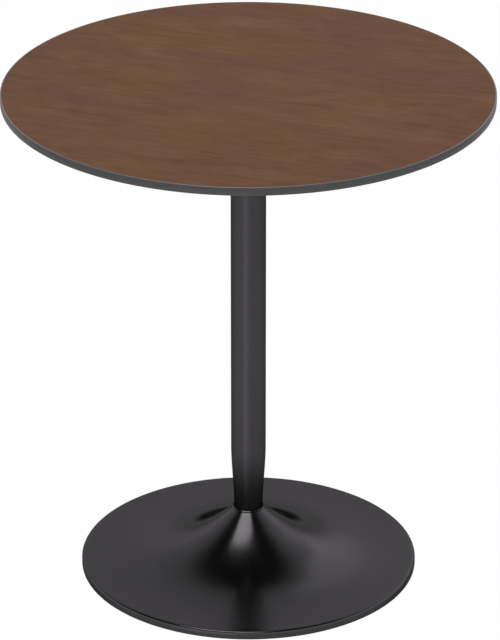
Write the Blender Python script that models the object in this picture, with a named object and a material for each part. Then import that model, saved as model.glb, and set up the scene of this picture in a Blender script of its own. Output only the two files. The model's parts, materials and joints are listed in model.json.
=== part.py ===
"""Round dining table: a wood-faced round top on a swaged column and a trumpet base.

Metres, +Z up. The origin is on the floor under the middle of the table and the front is -Y.
The top, the column and the base are clamped together by one tie rod on the Z axis. Four
levelling glides screw into the ballast plate inside the base.
"""
import math

import bmesh
import bpy
from mathutils import Matrix, Vector

for leftover in list(bpy.data.objects):
    bpy.data.objects.remove(leftover, do_unlink=True)

# Overall sizes
TABLE_HEIGHT = 0.750
TOP_DIAMETER = 0.700
BASE_DIAMETER = 0.492
COLUMN_DIAMETER = 0.0508
COLUMN_FOOT_DIAMETER = 0.0420

# Clearance left between any two pieces that touch
FIT_GAP = 0.0003

# How far a cutter runs past the face it opens, and the distance under which points are one
CUT_OVERRUN = 0.0010
MERGE_DISTANCE = 0.000002

# Table top, from the face down
FACE_THICKNESS = 0.0010
CORE_THICKNESS = 0.0094
BACKING_THICKNESS = 0.0010
EDGE_WIDTH = 0.0020
EDGE_ARRIS = 0.0012

# Fixings in the top: M6 screws in threaded inserts, two on each arm of the spider
ARM_ANGLES = (0, 90, 180, 270)
SCREW_END_SETBACK = 0.015
SCREW_SPACING = 0.085
SCREW_DIAMETER = 0.0058
SCREW_REACH = 0.0080
SCREW_HEAD_DIAMETER = 0.0110
SCREW_HEAD_HEIGHT = 0.0033
SCREW_SOCKET_WIDTH = 0.0040
SCREW_SOCKET_DEPTH = 0.0018
SCREW_HEAD_FLAT_DIAMETER = 0.0062
INSERT_WALL = 0.0014
INSERT_LENGTH = 0.0085

# Spider plate and the hub under it
SPIDER_THICKNESS = 0.0040
SPIDER_REACH = 0.205
SPIDER_ROOT_WIDTH = 0.056
SPIDER_TIP_WIDTH = 0.030
SPIDER_CENTRE_DIAMETER = 0.100
TOP_FLANGE_OVERHANG = 0.0026
TOP_FLANGE_THICKNESS = 0.0050
TOP_SPIGOT_LENGTH = 0.036
TOP_HUB_CHAMFER = 0.0010

# Column tube and tie rod
TUBE_WALL = 0.0018
SWAGE_LENGTH = 0.098
COLUMN_SEAT_DEPTH = 0.022
TIE_ROD_DIAMETER = 0.0100
TIE_ROD_THREAD_DEPTH = 0.034
TIE_ROD_CHAMFER = 0.0008

# Trumpet base shell
LIP_CLEARANCE = 0.0030
LIP_HEIGHT = 0.0110
LIP_CORNER = 0.0022
SHELL_WALL = 0.0015
SHELL_EDGE_BREAK = 0.0006
NECK_HEIGHT = 0.0910
NECK_COLLAR = 0.0024
NECK_CLEARANCE = 0.0005
FLARE_SLOPE = 1.15
FLARE_BLEND = 0.040

# Ballast plate and base hub
PLATE_THICKNESS = 0.0050
PLATE_EDGE_GAP = 0.0012
PLATE_CHAMFER = 0.0008
HUB_FLANGE_WIDTH = 0.017
HUB_FLANGE_THICKNESS = 0.0060
HUB_SHOULDER = 0.0065
HUB_SPIGOT_LENGTH = 0.046
HUB_CHAMFER = 0.0015
NUT_WELL_DIAMETER = 0.0260
NUT_WELL_DEPTH = 0.028

# Tie rod fastening in the well of the base hub
WASHER_DIAMETER = 0.0200
WASHER_THICKNESS = 0.0020
SPRING_WASHER_WIDTH = 0.0036
SPRING_WASHER_THICKNESS = 0.0022
SPRING_WASHER_SLIT_DEG = 12.0
NUT_WIDTH = 0.0160
NUT_HEIGHT = 0.0084
TIE_ROD_TAIL = 0.0030

# Levelling glides
GLIDE_ANGLES = (45, 135, 225, 315)
GLIDE_CIRCLE = 0.205
GLIDE_THREAD_DIAMETER = 0.0060
GLIDE_BUSH_WALL = 0.0026
GLIDE_HEX_WIDTH = 0.0110
GLIDE_HEX_HEIGHT = 0.0024
GLIDE_PIVOT_DEPTH = 0.0017
GLIDE_PAD_DIAMETER = 0.0280
GLIDE_PAD_HEIGHT = 0.0032
GLIDE_PAD_CHAMFER = 0.0008

# Radii that the sizes above lead to
TOP_RADIUS = TOP_DIAMETER / 2
BASE_RADIUS = BASE_DIAMETER / 2
COLUMN_RADIUS = COLUMN_DIAMETER / 2
COLUMN_FOOT_RADIUS = COLUMN_FOOT_DIAMETER / 2
BOARD_RADIUS = TOP_RADIUS - EDGE_WIDTH - FIT_GAP
OUTER_SCREW_CIRCLE = SPIDER_REACH - SCREW_END_SETBACK
INNER_SCREW_CIRCLE = OUTER_SCREW_CIRCLE - SCREW_SPACING
SCREW_RADIUS = SCREW_DIAMETER / 2
INSERT_BORE = SCREW_RADIUS + FIT_GAP
INSERT_RADIUS = INSERT_BORE + INSERT_WALL
INSERT_HOLE = INSERT_RADIUS + FIT_GAP
ROD_RADIUS = TIE_ROD_DIAMETER / 2
ROD_BORE = ROD_RADIUS + FIT_GAP
NECK_RADIUS = COLUMN_FOOT_RADIUS + NECK_CLEARANCE + SHELL_WALL
PLATE_RADIUS = BASE_RADIUS - SHELL_WALL - PLATE_EDGE_GAP
HUB_RADIUS = COLUMN_FOOT_RADIUS + HUB_SHOULDER
WELL_RADIUS = NUT_WELL_DIAMETER / 2
GLIDE_STUD_RADIUS = GLIDE_THREAD_DIAMETER / 2
GLIDE_BORE = GLIDE_STUD_RADIUS + FIT_GAP
GLIDE_BUSH_RADIUS = GLIDE_BORE + GLIDE_BUSH_WALL

# Heights that the sizes above lead to, from the top down
Z_FACE = TABLE_HEIGHT
Z_CORE_TOP = Z_FACE - FACE_THICKNESS - FIT_GAP
Z_CORE_FOOT = Z_CORE_TOP - CORE_THICKNESS
Z_BACKING_TOP = Z_CORE_FOOT - FIT_GAP
Z_BACKING_FOOT = Z_BACKING_TOP - BACKING_THICKNESS
Z_SPIDER_TOP = Z_BACKING_FOOT - FIT_GAP
Z_SPIDER_FOOT = Z_SPIDER_TOP - SPIDER_THICKNESS
Z_FLANGE_TOP = Z_SPIDER_FOOT - FIT_GAP
Z_FLANGE_FOOT = Z_FLANGE_TOP - TOP_FLANGE_THICKNESS
Z_COLUMN_TOP = Z_FLANGE_FOOT - FIT_GAP

# Heights from the floor up
Z_LIP_FOOT = LIP_CLEARANCE
Z_DISC = Z_LIP_FOOT + LIP_HEIGHT
Z_NECK = Z_LIP_FOOT + NECK_HEIGHT
Z_CONE_TOP = Z_NECK - NECK_COLLAR
Z_PLATE_TOP = Z_DISC - SHELL_WALL - FIT_GAP
Z_PLATE_FOOT = Z_PLATE_TOP - PLATE_THICKNESS
Z_HUB_FOOT = Z_PLATE_TOP + FIT_GAP
Z_COLUMN_FOOT = Z_NECK - COLUMN_SEAT_DEPTH
Z_HUB_SHOULDER = Z_COLUMN_FOOT - FIT_GAP
Z_WELL_TOP = Z_HUB_FOOT + NUT_WELL_DEPTH
Z_PAD_TOP = GLIDE_PAD_HEIGHT
Z_HEX_FOOT = Z_PAD_TOP + FIT_GAP
Z_HEX_TOP = Z_HEX_FOOT + GLIDE_HEX_HEIGHT
Z_BUSH_FOOT = Z_HEX_TOP + FIT_GAP


def make_material(name, colour, roughness, metallic=0.0):
    """A plain Principled material in linear colour."""
    material = bpy.data.materials.new(name)
    material.use_nodes = True
    shader = material.node_tree.nodes["Principled BSDF"]
    shader.inputs["Base Color"].default_value = (*colour, 1.0)
    shader.inputs["Roughness"].default_value = roughness
    shader.inputs["Metallic"].default_value = metallic
    material.diffuse_color = (*colour, 1.0)
    return material


WOOD = make_material("brown_wood", (0.165, 0.085, 0.052), 0.55)
BOARD = make_material("fibre_board", (0.30, 0.20, 0.11), 0.85)
BLACK_SHEET = make_material("black_backing", (0.012, 0.012, 0.013), 0.60)
BLACK_EDGE = make_material("black_edge", (0.020, 0.020, 0.022), 0.40)
BLACK_COAT = make_material("black_coat", (0.006, 0.006, 0.006), 0.30)
DARK_STEEL = make_material("dark_steel", (0.05, 0.05, 0.055), 0.45, 1.0)
ZINC = make_material("zinc_plate", (0.55, 0.56, 0.58), 0.35, 1.0)
BRASS = make_material("brass", (0.60, 0.43, 0.16), 0.30, 1.0)
PAD_PLASTIC = make_material("pad_plastic", (0.025, 0.025, 0.025), 0.55)


def add_object(name, mesh, material, location=(0.0, 0.0, 0.0), angle_deg=0.0, parent=None):
    """Link a mesh as a named object, turned about Z."""
    if not mesh.materials:
        mesh.materials.append(material)
    part = bpy.data.objects.new(name, mesh)
    part.location = location
    part.rotation_euler = (0.0, 0.0, math.radians(angle_deg))
    part.parent = parent
    bpy.context.scene.collection.objects.link(part)
    return part


def finish_mesh(name, shape, sharp_deg=32.0):
    """Turn a bmesh into a mesh with outward faces, smooth except at real edges."""
    bmesh.ops.recalc_face_normals(shape, faces=shape.faces)
    mesh = bpy.data.meshes.new(name)
    shape.to_mesh(mesh)
    shape.free()
    mesh.shade_smooth()
    mesh.set_sharp_from_angle(angle=math.radians(sharp_deg))
    return mesh


def spin_mesh(name, profile, steps):
    """Spin a half section of (radius, height) points round the Z axis.

    A section that starts and ends on the axis is left open there; any other is closed.
    """
    shape = bmesh.new()
    corners = [shape.verts.new((radius, 0.0, height)) for radius, height in profile]
    edges = [shape.edges.new(pair) for pair in zip(corners, corners[1:])]
    if profile[0][0] > 0.0 or profile[-1][0] > 0.0:
        edges.append(shape.edges.new((corners[-1], corners[0])))
    bmesh.ops.spin(
        shape,
        geom=corners + edges,
        cent=(0.0, 0.0, 0.0),
        axis=(0.0, 0.0, 1.0),
        angle=2.0 * math.pi,
        steps=steps,
        use_merge=True,
    )
    bmesh.ops.remove_doubles(shape, verts=shape.verts, dist=MERGE_DISTANCE)
    return finish_mesh(name, shape)


def rod_section(radius, low, high, chamfer=0.0):
    """Half section of a solid round bar, with both ends chamfered if asked."""
    if chamfer:
        return [
            (0.0, low),
            (radius - chamfer, low),
            (radius, low + chamfer),
            (radius, high - chamfer),
            (radius - chamfer, high),
            (0.0, high),
        ]
    return [(0.0, low), (radius, low), (radius, high), (0.0, high)]


def ring_section(inner, outer, low, high, chamfer=0.0):
    """Half section of a ring, with its outer arrises chamfered if asked."""
    if chamfer:
        return [
            (inner, low),
            (outer - chamfer, low),
            (outer, low + chamfer),
            (outer, high - chamfer),
            (outer - chamfer, high),
            (inner, high),
        ]
    return [(inner, low), (outer, low), (outer, high), (inner, high)]


def prism_mesh(name, outline, low, high):
    """Extrude a closed plan outline between two heights."""
    shape = bmesh.new()
    foot = [shape.verts.new((x, y, low)) for x, y in outline]
    face = shape.faces.new(foot)
    grown = bmesh.ops.extrude_face_region(shape, geom=[face])
    top = [item for item in grown["geom"] if isinstance(item, bmesh.types.BMVert)]
    bmesh.ops.translate(shape, verts=top, vec=(0.0, 0.0, high - low))
    return finish_mesh(name, shape)


def hexagon(width, turn_deg=0.0):
    """Plan corners of a hexagon of the given width across flats."""
    corner = width / 2 / math.cos(math.pi / 6)
    turns = [math.radians(turn_deg + 60 * step) for step in range(6)]
    return [(corner * math.cos(turn), corner * math.sin(turn)) for turn in turns]


def drill(part, name, spots, radius, low, high, steps=12):
    """Cut round holes at plan spots with one Boolean."""
    shape = bmesh.new()
    for x, y in spots:
        bmesh.ops.create_cone(
            shape,
            cap_ends=True,
            segments=steps,
            radius1=radius,
            radius2=radius,
            depth=high - low,
            matrix=Matrix.Translation(Vector((x, y, (low + high) / 2))),
        )
    cut_with(part, name, finish_mesh(name, shape))


def cut_with(part, name, mesh):
    """Subtract a mesh from an object with a Boolean whose cutter stays hidden."""
    cutter = bpy.data.objects.new(name, mesh)
    cutter.display_type = 'WIRE'
    cutter.hide_render = True
    bpy.context.scene.collection.objects.link(cutter)
    boolean = part.modifiers.new(name, 'BOOLEAN')
    boolean.operation = 'DIFFERENCE'
    boolean.solver = 'EXACT'
    boolean.object = cutter


def polar(radius, angle_deg):
    """Plan point at a radius and an angle from +X."""
    angle = math.radians(angle_deg)
    return (radius * math.cos(angle), radius * math.sin(angle))


SCREW_SPOTS = [
    polar(circle, angle)
    for angle in ARM_ANGLES
    for circle in (INNER_SCREW_CIRCLE, OUTER_SCREW_CIRCLE)
]
GLIDE_SPOTS = [polar(GLIDE_CIRCLE, angle) for angle in GLIDE_ANGLES]

# Sides of the turned pieces
TOP_STEPS = 108
BASE_STEPS = 64
TUBE_STEPS = 36
HUB_STEPS = 24
SCREW_STEPS = 16
SLEEVE_STEPS = 12
FLARE_STEPS = 14


def build_top():
    """The board, its two sheets and the black band round its edge."""
    face = rod_section(BOARD_RADIUS, Z_FACE - FACE_THICKNESS, Z_FACE)
    add_object("wood_face", spin_mesh("wood_face", face, TOP_STEPS), WOOD)

    board = rod_section(BOARD_RADIUS, Z_CORE_FOOT, Z_CORE_TOP)
    core = add_object("tabletop_core", spin_mesh("tabletop_core", board, TOP_STEPS), BOARD)
    hole_top = Z_BACKING_FOOT + INSERT_LENGTH + FIT_GAP
    drill(core, "core_holes", SCREW_SPOTS, INSERT_HOLE, Z_CORE_FOOT - CUT_OVERRUN, hole_top)

    sheet = rod_section(BOARD_RADIUS, Z_BACKING_FOOT, Z_BACKING_TOP)
    backing = add_object("backing_sheet", spin_mesh("backing_sheet", sheet, TOP_STEPS), BLACK_SHEET)
    drill(
        backing,
        "backing_holes",
        SCREW_SPOTS,
        INSERT_HOLE,
        Z_BACKING_FOOT - CUT_OVERRUN,
        Z_BACKING_TOP + CUT_OVERRUN,
    )

    band = ring_section(TOP_RADIUS - EDGE_WIDTH, TOP_RADIUS, Z_BACKING_FOOT, Z_FACE, EDGE_ARRIS)
    add_object("edge_band", spin_mesh("edge_band", band, TOP_STEPS), BLACK_EDGE)


def build_fixings():
    """Threaded inserts in the board and the socket screws that hold the spider to it."""
    sleeve = ring_section(INSERT_BORE, INSERT_RADIUS, 0.0, INSERT_LENGTH)
    insert_mesh = spin_mesh("insert_nut", sleeve, SLEEVE_STEPS)
    head_radius = SCREW_HEAD_DIAMETER / 2
    screw_length = FIT_GAP + SPIDER_THICKNESS + FIT_GAP + SCREW_REACH
    flat_radius = SCREW_HEAD_FLAT_DIAMETER / 2
    screw_section = [(0.0, screw_length), (SCREW_RADIUS, screw_length), (SCREW_RADIUS, 0.0)]
    for step in range(4):
        bend = math.radians(90 * step / 3)
        dome_radius = flat_radius + (head_radius - flat_radius) * math.cos(bend)
        screw_section.append((dome_radius, -SCREW_HEAD_HEIGHT * math.sin(bend)))
    screw_section.append((0.0, -SCREW_HEAD_HEIGHT))
    screw_mesh = spin_mesh("plate_screw", screw_section, SCREW_STEPS)
    socket_low = -SCREW_HEAD_HEIGHT - CUT_OVERRUN
    socket_high = -SCREW_HEAD_HEIGHT + SCREW_SOCKET_DEPTH
    under_spider = Z_SPIDER_FOOT - FIT_GAP
    for number, (x, y) in enumerate(SCREW_SPOTS, start=1):
        add_object(f"insert_nut_{number}", insert_mesh, BRASS, (x, y, Z_BACKING_FOOT))
        screw = add_object(f"plate_screw_{number}", screw_mesh, ZINC, (x, y, under_spider))
        outline = [(x + u, y + v) for u, v in hexagon(SCREW_SOCKET_WIDTH)]
        name = f"screw_socket_{number}"
        socket = prism_mesh(name, outline, under_spider + socket_low, under_spider + socket_high)
        cut_with(screw, name, socket)


def build_support():
    """The four-armed spider under the top and the hub that centres the tube."""
    outline = []
    tip = SPIDER_TIP_WIDTH / 2
    root = SPIDER_ROOT_WIDTH / 2
    centre = SPIDER_CENTRE_DIAMETER / 2
    for angle in ARM_ANGLES:
        turn = math.radians(angle)
        along = Vector((math.cos(turn), math.sin(turn)))
        across = Vector((-math.sin(turn), math.cos(turn)))
        root_reach = math.sqrt(centre ** 2 - root ** 2)
        points = [along * root_reach - across * root]
        for step in range(9):
            bend = math.radians(-90 + 180 * step / 8)
            points.append(along * (SPIDER_REACH + tip * math.cos(bend)) + across * tip * math.sin(bend))
        points.append(along * root_reach + across * root)
        outline.extend((point.x, point.y) for point in points)
    spider_mesh = prism_mesh("top_plate", outline, Z_SPIDER_FOOT, Z_SPIDER_TOP)
    spider = add_object("top_plate", spider_mesh, BLACK_COAT)
    hole = SCREW_RADIUS + FIT_GAP
    low = Z_SPIDER_FOOT - CUT_OVERRUN
    drill(spider, "spider_holes", SCREW_SPOTS, hole, low, Z_SPIDER_TOP + CUT_OVERRUN)

    spigot = COLUMN_RADIUS - TUBE_WALL - FIT_GAP
    flange = COLUMN_RADIUS + TOP_FLANGE_OVERHANG
    spigot_foot = Z_FLANGE_FOOT - TOP_SPIGOT_LENGTH
    lead = TOP_HUB_CHAMFER
    hub = [
        (0.0, Z_FLANGE_TOP),
        (flange - lead, Z_FLANGE_TOP),
        (flange, Z_FLANGE_TOP - lead),
        (flange, Z_FLANGE_FOOT),
        (spigot, Z_FLANGE_FOOT),
        (spigot, spigot_foot + lead),
        (spigot - lead, spigot_foot),
        (ROD_BORE, spigot_foot),
        (ROD_BORE, spigot_foot + TIE_ROD_THREAD_DEPTH + FIT_GAP),
        (0.0, spigot_foot + TIE_ROD_THREAD_DEPTH + FIT_GAP),
    ]
    add_object("top_hub", spin_mesh("top_hub", hub, HUB_STEPS), BLACK_COAT)


def column_radius(height):
    """Outside radius of the tube: straight, then swaged in an S towards the foot."""
    share = (height - Z_NECK) / SWAGE_LENGTH
    share = min(1.0, max(0.0, share))
    return COLUMN_FOOT_RADIUS + (COLUMN_RADIUS - COLUMN_FOOT_RADIUS) * share * share * (3.0 - 2.0 * share)


def build_column():
    """The tube and the tie rod inside it."""
    swage = [Z_NECK + SWAGE_LENGTH * step / 8 for step in range(9)]
    heights = [Z_COLUMN_FOOT] + swage + [Z_COLUMN_TOP]
    outside = [(column_radius(height), height) for height in heights]
    inside = [(radius - TUBE_WALL, height) for radius, height in reversed(outside)]
    add_object("column_tube", spin_mesh("column_tube", outside + inside, TUBE_STEPS), BLACK_COAT)

    rod_top = Z_FLANGE_FOOT - TOP_SPIGOT_LENGTH + TIE_ROD_THREAD_DEPTH
    rod = rod_section(ROD_RADIUS, nut_foot() - TIE_ROD_TAIL, rod_top, TIE_ROD_CHAMFER)
    add_object("tie_rod", spin_mesh("tie_rod", rod, SCREW_STEPS), ZINC)


def washer_foot():
    """Underside of the flat washer in the well of the base hub."""
    return Z_WELL_TOP - FIT_GAP - WASHER_THICKNESS


def nut_foot():
    """Underside of the nut in the well of the base hub."""
    return washer_foot() - FIT_GAP - SPRING_WASHER_THICKNESS - FIT_GAP - NUT_HEIGHT


def flare_height(radius):
    """Height of the trumpet's outer surface: a cone that eases into the flat disc."""
    rise = (Z_CONE_TOP - Z_DISC) / (FLARE_SLOPE * FLARE_BLEND)
    knee = NECK_RADIUS + FLARE_BLEND * math.log(math.exp(rise) - 1.0)
    return Z_DISC + FLARE_SLOPE * FLARE_BLEND * math.log(1.0 + math.exp((knee - radius) / FLARE_BLEND))


def flare_tilt(radius):
    """Slope angle of the trumpet's outer surface at a radius."""
    step = 0.0001
    return math.atan((flare_height(radius - step) - flare_height(radius + step)) / (2.0 * step))


def flare_section(depth):
    """Points of the flare from the neck to the lip's corner, set in from the outside by depth."""
    last = BASE_RADIUS - LIP_CORNER
    points = []
    for step in range(FLARE_STEPS + 1):
        radius = NECK_RADIUS + (last - NECK_RADIUS) * (step / FLARE_STEPS) ** 1.25
        tilt = flare_tilt(radius)
        points.append((radius - depth * math.sin(tilt), flare_height(radius) - depth * math.cos(tilt)))
    return points


def build_base_shell():
    """The trumpet: collar, cone, disc and turned-down lip as one spun sheet."""
    outer_flare = flare_section(0.0)
    inner_flare = flare_section(SHELL_WALL)
    edge_height = outer_flare[-1][1]
    corner_centre = (BASE_RADIUS - LIP_CORNER, edge_height - LIP_CORNER)
    corner = []
    for step in range(1, 5):
        bend = math.radians(90 - 90 * step / 4)
        corner.append((
            corner_centre[0] + LIP_CORNER * math.cos(bend),
            corner_centre[1] + LIP_CORNER * math.sin(bend),
        ))
    rim_round = SHELL_EDGE_BREAK
    collar_inner = NECK_RADIUS - SHELL_WALL
    neck_tilt = flare_tilt(NECK_RADIUS)
    step_in = (1.0 - math.sin(neck_tilt)) * math.tan(neck_tilt)
    collar_foot = Z_CONE_TOP - SHELL_WALL * (math.cos(neck_tilt) - step_in)
    half_turn = (LIP_CORNER - SHELL_WALL) * math.sqrt(0.5)
    section = [
        (collar_inner + rim_round, Z_NECK),
        (NECK_RADIUS - rim_round, Z_NECK),
        (NECK_RADIUS, Z_NECK - rim_round),
    ]
    section += outer_flare
    section += corner
    section += [
        (BASE_RADIUS, Z_LIP_FOOT + rim_round),
        (BASE_RADIUS - rim_round, Z_LIP_FOOT),
        (BASE_RADIUS - SHELL_WALL, Z_LIP_FOOT),
        (BASE_RADIUS - SHELL_WALL, corner_centre[1]),
        (corner_centre[0] + half_turn, corner_centre[1] + half_turn),
    ]
    section += list(reversed(inner_flare))
    section += [
        (collar_inner, collar_foot),
        (collar_inner, Z_NECK - rim_round),
    ]
    add_object("base_shell", spin_mesh("base_shell", section, BASE_STEPS), BLACK_COAT)


def build_base_core():
    """The ballast plate inside the lip, the hub the column stands on, and the rod's fastening."""
    hole = WELL_RADIUS + FIT_GAP
    plate_section = ring_section(hole, PLATE_RADIUS, Z_PLATE_FOOT, Z_PLATE_TOP, PLATE_CHAMFER)
    plate = add_object("ballast_plate", spin_mesh("ballast_plate", plate_section, BASE_STEPS), DARK_STEEL)
    bush_hole = GLIDE_BUSH_RADIUS + FIT_GAP
    low = Z_PLATE_FOOT - CUT_OVERRUN
    drill(plate, "bush_holes", GLIDE_SPOTS, bush_hole, low, Z_PLATE_TOP + CUT_OVERRUN)

    flange = HUB_RADIUS + HUB_FLANGE_WIDTH
    spigot = COLUMN_FOOT_RADIUS - TUBE_WALL - FIT_GAP
    spigot_top = Z_HUB_SHOULDER + HUB_SPIGOT_LENGTH
    lead = HUB_CHAMFER
    hub = [
        (WELL_RADIUS, Z_HUB_FOOT),
        (flange, Z_HUB_FOOT),
        (flange, Z_HUB_FOOT + HUB_FLANGE_THICKNESS - lead),
        (flange - lead, Z_HUB_FOOT + HUB_FLANGE_THICKNESS),
        (HUB_RADIUS, Z_HUB_FOOT + HUB_FLANGE_THICKNESS),
        (HUB_RADIUS, Z_HUB_SHOULDER),
        (spigot, Z_HUB_SHOULDER),
        (spigot, spigot_top - lead),
        (spigot - lead, spigot_top),
        (ROD_BORE, spigot_top),
        (ROD_BORE, Z_WELL_TOP),
        (WELL_RADIUS, Z_WELL_TOP),
    ]
    add_object("base_hub", spin_mesh("base_hub", hub, HUB_STEPS), DARK_STEEL)

    washer = ring_section(ROD_BORE, WASHER_DIAMETER / 2, washer_foot(), washer_foot() + WASHER_THICKNESS)
    add_object("rod_washer", spin_mesh("rod_washer", washer, HUB_STEPS), ZINC)

    spring_top = washer_foot() - FIT_GAP
    add_object("spring_washer", split_ring_mesh(spring_top - SPRING_WASHER_THICKNESS, spring_top), ZINC)

    nut_mesh = prism_mesh("rod_nut", hexagon(NUT_WIDTH), nut_foot(), nut_foot() + NUT_HEIGHT)
    nut = add_object("rod_nut", nut_mesh, ZINC)
    low = nut_foot() - CUT_OVERRUN
    high = nut_foot() + NUT_HEIGHT + CUT_OVERRUN
    drill(nut, "nut_bore", [(0.0, 0.0)], ROD_BORE, low, high, HUB_STEPS)


def split_ring_mesh(low, high):
    """A flat ring with a narrow slit, as a plan outline extruded."""
    inner = ROD_BORE
    outer = ROD_BORE + SPRING_WASHER_WIDTH
    slit = SPRING_WASHER_SLIT_DEG / 2
    angles = [slit + (360.0 - 2.0 * slit) * step / 24 for step in range(25)]
    outline = [polar(outer, angle) for angle in angles]
    outline += [polar(inner, angle) for angle in reversed(angles)]
    return prism_mesh("spring_washer", outline, low, high)


def build_glides():
    """Four glides: bush in the plate, levelling screw and swivelling pad, each on its own axis."""
    bush = ring_section(GLIDE_BORE, GLIDE_BUSH_RADIUS, Z_BUSH_FOOT, Z_PLATE_TOP)
    bush_mesh = spin_mesh("glide_bush", bush, SLEEVE_STEPS)
    pocket_foot = Z_PAD_TOP - GLIDE_PIVOT_DEPTH - FIT_GAP
    pad_radius = GLIDE_PAD_DIAMETER / 2
    pad = [
        (0.0, 0.0),
        (pad_radius - GLIDE_PAD_CHAMFER, 0.0),
        (pad_radius, GLIDE_PAD_CHAMFER),
        (pad_radius, Z_PAD_TOP - GLIDE_PAD_CHAMFER),
        (pad_radius - GLIDE_PAD_CHAMFER, Z_PAD_TOP),
        (GLIDE_BORE, Z_PAD_TOP),
        (GLIDE_BORE, pocket_foot),
        (0.0, pocket_foot),
    ]
    pad_mesh = spin_mesh("glide_pad", pad, SCREW_STEPS)
    stud_mesh = glide_stud_mesh()
    for number, (angle, (x, y)) in enumerate(zip(GLIDE_ANGLES, GLIDE_SPOTS), start=1):
        axis = bpy.data.objects.new(f"glide_axis_{number}", None)
        axis.location = (x, y, 0.0)
        axis.rotation_euler = (0.0, 0.0, math.radians(angle))
        bpy.context.scene.collection.objects.link(axis)
        add_object(f"glide_bush_{number}", bush_mesh, ZINC, parent=axis)
        add_object(f"glide_stud_{number}", stud_mesh, ZINC, parent=axis)
        add_object(f"glide_pad_{number}", pad_mesh, PAD_PLASTIC, parent=axis)


def glide_stud_mesh():
    """Levelling screw: pivot in the pad, hexagon collar and threaded shank, grown from one hexagon."""
    shape = bmesh.new()
    ring = HUB_STEPS
    levels = [
        (Z_PAD_TOP - GLIDE_PIVOT_DEPTH, GLIDE_STUD_RADIUS, False),
        (Z_HEX_FOOT, GLIDE_STUD_RADIUS, False),
        (Z_HEX_FOOT, GLIDE_HEX_WIDTH / 2, True),
        (Z_HEX_TOP, GLIDE_HEX_WIDTH / 2, True),
        (Z_HEX_TOP, GLIDE_STUD_RADIUS, False),
        (Z_PLATE_TOP, GLIDE_STUD_RADIUS, False),
    ]
    loops = []
    for height, radius, six_sided in levels:
        loop = []
        for step in range(ring):
            turn = 2.0 * math.pi * step / ring
            reach = radius
            if six_sided:
                reach = radius / math.cos(turn % (math.pi / 3) - math.pi / 6)
            loop.append(shape.verts.new((reach * math.cos(turn), reach * math.sin(turn), height)))
        loops.append(loop)
    for below, above in zip(loops, loops[1:]):
        for step in range(ring):
            following = (step + 1) % ring
            shape.faces.new((below[step], below[following], above[following], above[step]))
    shape.faces.new(loops[0])
    shape.faces.new(loops[-1])
    return finish_mesh("glide_stud", shape)


build_top()
build_fixings()
build_support()
build_column()
build_base_shell()
build_base_core()
build_glides()
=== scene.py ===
# %% [markdown]
# # A round pedestal dining table, dressed for its picture
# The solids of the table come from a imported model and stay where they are. This lesson builds what
# the eye meets around them: a wood-faced top with a black edge, a black tube drawn in at its foot, a
# trumpet-shaped base, and the fixings that show from below. The frame is loaded first, because each
# piece takes its place from it. Everything is in metres, with +Z up.

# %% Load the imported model
import json
import math
from functools import partial

import bmesh
import bpy
from mathutils import Matrix, Vector

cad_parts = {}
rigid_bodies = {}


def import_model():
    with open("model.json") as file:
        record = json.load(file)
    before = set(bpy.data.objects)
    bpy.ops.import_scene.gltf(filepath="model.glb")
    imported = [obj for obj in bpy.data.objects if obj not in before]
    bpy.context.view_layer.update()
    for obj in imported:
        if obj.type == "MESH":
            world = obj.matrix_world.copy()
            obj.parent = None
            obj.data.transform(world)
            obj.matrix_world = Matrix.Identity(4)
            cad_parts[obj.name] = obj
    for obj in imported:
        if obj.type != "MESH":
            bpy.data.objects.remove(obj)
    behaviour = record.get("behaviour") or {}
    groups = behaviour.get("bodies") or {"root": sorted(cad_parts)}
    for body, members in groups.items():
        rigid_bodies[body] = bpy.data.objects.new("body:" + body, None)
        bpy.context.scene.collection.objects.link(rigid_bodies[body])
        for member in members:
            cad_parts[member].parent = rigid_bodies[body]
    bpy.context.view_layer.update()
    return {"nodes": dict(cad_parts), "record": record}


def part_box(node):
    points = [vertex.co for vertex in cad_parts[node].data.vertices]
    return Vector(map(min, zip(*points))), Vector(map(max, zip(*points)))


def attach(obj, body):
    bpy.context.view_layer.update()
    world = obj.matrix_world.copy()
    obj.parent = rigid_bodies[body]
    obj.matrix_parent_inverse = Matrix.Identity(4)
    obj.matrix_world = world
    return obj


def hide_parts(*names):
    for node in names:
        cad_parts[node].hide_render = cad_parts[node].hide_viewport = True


for leftover in list(bpy.data.objects):
    bpy.data.objects.remove(leftover, do_unlink=True)
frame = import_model()

# %% [markdown]
# ## The camera
# The picture was taken from in front and above, far away and with a long lens: the round top and
# the round base show as two ellipses of nearly the same shape. A camera could be placed by eye. Here
# its place comes from fitting those two ellipses and the tube, so that edges fall where they should.

# %% Camera
CAMERA_PLACE = Vector((0.0, -5.778, 3.076))
CAMERA_AIM = Vector((0.0023, 0.0076, 0.3892))
LENS_MM = 248.3
scene = bpy.context.scene
scene.view_settings.view_transform = 'Standard'


def link_object(name, data):
    """A new object in the scene."""
    made = bpy.data.objects.new(name, data)
    scene.collection.objects.link(made)
    return made


def aim(thing, target):
    """Turn a camera or a lamp, which look along their own -Z, towards a point."""
    thing.rotation_euler = (target - thing.location).to_track_quat('-Z', 'Y').to_euler()


camera_data = bpy.data.cameras.new("picture_camera")
camera_data.sensor_width = 36.0
camera_data.lens = LENS_MM
camera = link_object("picture_camera", camera_data)
camera.location = CAMERA_PLACE
aim(camera, CAMERA_AIM)
scene.camera = camera
print("camera stands", round((CAMERA_PLACE - CAMERA_AIM).length, 2), "m away")

# %% [markdown]
# ## Putting nodes together
# Shaders and Geometry Nodes are both trees of nodes. A tree can be drawn by hand in the editor; in a
# script, small helpers keep it readable. Three fill a socket and add a node, two add the nodes that
# are needed most, a sum and a change of range, and the last names the sockets of a tree itself.

# %% Node helpers


def fill(tree, socket, value):
    """Give a socket a plain value, or link another node's output to it."""
    if isinstance(value, bpy.types.NodeSocket):
        tree.links.new(value, socket)
    else:
        socket.default_value = value


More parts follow.
